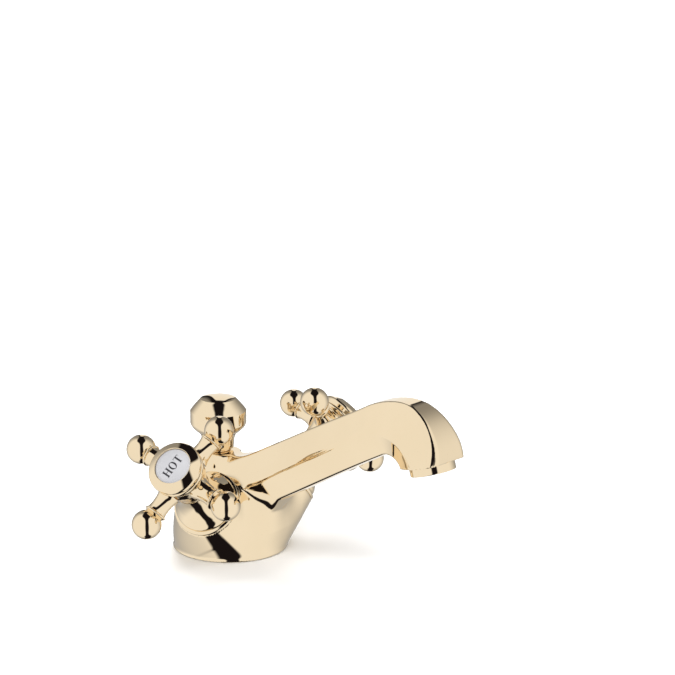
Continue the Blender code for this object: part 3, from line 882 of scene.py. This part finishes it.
def studio_light(nodes, azimuth, height):
    """Panels left and right, dimming away from the camera, and a narrow sweep behind."""
    light = nodes.math("MAXIMUM", panel(nodes, azimuth, height, *LEFT_PANEL),
                       panel(nodes, azimuth, height, *RIGHT_PANEL))
    loss = nodes.math("MAXIMUM", fade(nodes, azimuth, *RIGHT_LOSS),
                      fade(nodes, azimuth, *LEFT_LOSS))
    loss = nodes.math("MULTIPLY", loss, fade(nodes, height, *LOW_LOSS))
    light = nodes.math("MULTIPLY", light, nodes.math("SUBTRACT", 1.0, loss))
    away = nodes.math("SUBTRACT", 180.0, nodes.math("ABSOLUTE", azimuth))
    return nodes.math("MAXIMUM", light, panel(nodes, away, height, *SWEEP))


def make_world():
    """White panels with dark gaps between them; the camera itself sees plain white."""
    world = bpy.data.worlds.new("studio")
    bpy.context.scene.world = world
    world.use_nodes = True
    nodes = Nodes(world.node_tree)
    light = studio_light(nodes, *sky_angles(nodes))
    mix = nodes.add("ShaderNodeMix", data_type="RGBA")
    mix.inputs[6].default_value = (0.010, 0.008, 0.010, 1)
    mix.inputs[7].default_value = (0.93, 0.925, 0.915, 1)
    tent = nodes.add("ShaderNodeBackground", in_Strength=1.0)
    plain = nodes.add("ShaderNodeBackground", in_Color=(1, 1, 1, 1), in_Strength=1.0)
    path = nodes.add("ShaderNodeLightPath")
    seen = nodes.add("ShaderNodeMixShader")
    out = nodes.add("ShaderNodeOutputWorld")
    nodes.tree.links.new(light, mix.inputs[0])
    nodes.tree.links.new(mix.outputs[2], tent.inputs["Color"])
    nodes.link(path, "Is Camera Ray", seen, "Fac")
    nodes.tree.links.new(tent.outputs[0], seen.inputs[1])
    nodes.tree.links.new(plain.outputs[0], seen.inputs[2])
    nodes.link(seen, "Shader", out, "Surface")


def panel(nodes, azimuth, height, across, upright, power, soft):
    """1 inside a round-cornered window of directions, fading over its edge."""
    total = None
    for value, (low, high) in ((azimuth, across), (height, upright)):
        offset = nodes.math("SUBTRACT", value, (low + high) / 2)
        ratio = nodes.math("DIVIDE", nodes.math("ABSOLUTE", offset), (high - low) / 2)
        term = nodes.math("POWER", ratio, power)
        total = term if total is None else nodes.math("ADD", total, term)
    return fade(nodes, nodes.math("POWER", total, 1 / power), 1 - soft, 1 + soft, 1.0, 0.0)


def fade(nodes, value, start, end, first, last):
    step = nodes.add("ShaderNodeMapRange", interpolation_type="SMOOTHSTEP", in_From_Min=start,
                     in_From_Max=end, in_To_Min=first, in_To_Max=last)
    nodes.tree.links.new(value, step.inputs["Value"])
    return step.outputs[0]


def make_lights():
    """Soft overhead light for the floor and the porcelain, left out of reflections."""
    power = 120.0
    for name, x, y in (("key", -2.0, -1.6), ("fill", 1.8, 1.6)):
        data = bpy.data.lights.new(name, "AREA")
        data.shape, data.size, data.energy = "DISK", 3.0, power
        light = bpy.data.objects.new(name, data)
        light.location = (x, y, 2.6)
        light.rotation_euler = Vector((-x, -y, -2.6)).to_track_quat("-Z", "Y").to_euler()
        light.visible_glossy = False
        bpy.context.scene.collection.objects.link(light)


def make_floor():
    """Pale square just under the foot, kept out of the gold's reflections."""
    mesh = bpy.data.meshes.new("floor")
    size, z = 6.0, -0.0003
    mesh.from_pydata([(-size, -size, z), (size, -size, z), (size, size, z), (-size, size, z)],
                     [], [(0, 1, 2, 3)])
    floor = bpy.data.objects.new("floor", mesh)
    bpy.context.scene.collection.objects.link(floor)
    mesh.materials.append(surface("pale_floor", (0.93, 0.93, 0.93), (0.95, 0.95, 0.95), 0.0,
                                  (0.6, 0.8), 3.0))
    floor.visible_glossy = False


def make_camera():
    data = bpy.data.cameras.new("camera")
    data.lens = 137.2
    data.sensor_width = 36.0
    data.clip_start, data.clip_end = 0.05, 60.0
    camera = bpy.data.objects.new("camera", data)
    bpy.context.scene.collection.objects.link(camera)
    camera.location = CAMERA_AT
    camera.rotation_euler = Vector(CAMERA_LOOK).to_track_quat("-Z", "Y").to_euler()
    bpy.context.scene.camera = camera


# --- assembly ----------------------------------------------------------------------
# side, lettering, its height in millimetres and its angle on the disc
WORDS = ("hot", "HOT", 4.5, 66.0), ("cold", "COLD", 3.8, 204.0)


def main():
    make_body()
    for side, word, letter_height, angle in WORDS:
        make_seat_ring(side)
        make_shroud(side)
        make_hub(side)
        for index in range(4):
            make_arm(side, index)
        make_cap(side)
        make_disc(side)
        make_word(side, word, letter_height, angle)
    make_knob()
    make_bush()
    make_aerator()
    dress_kept_nodes()
    make_world()
    make_lights()
    make_floor()
    make_camera()
    bpy.context.scene.view_settings.view_transform = "Standard"


main()
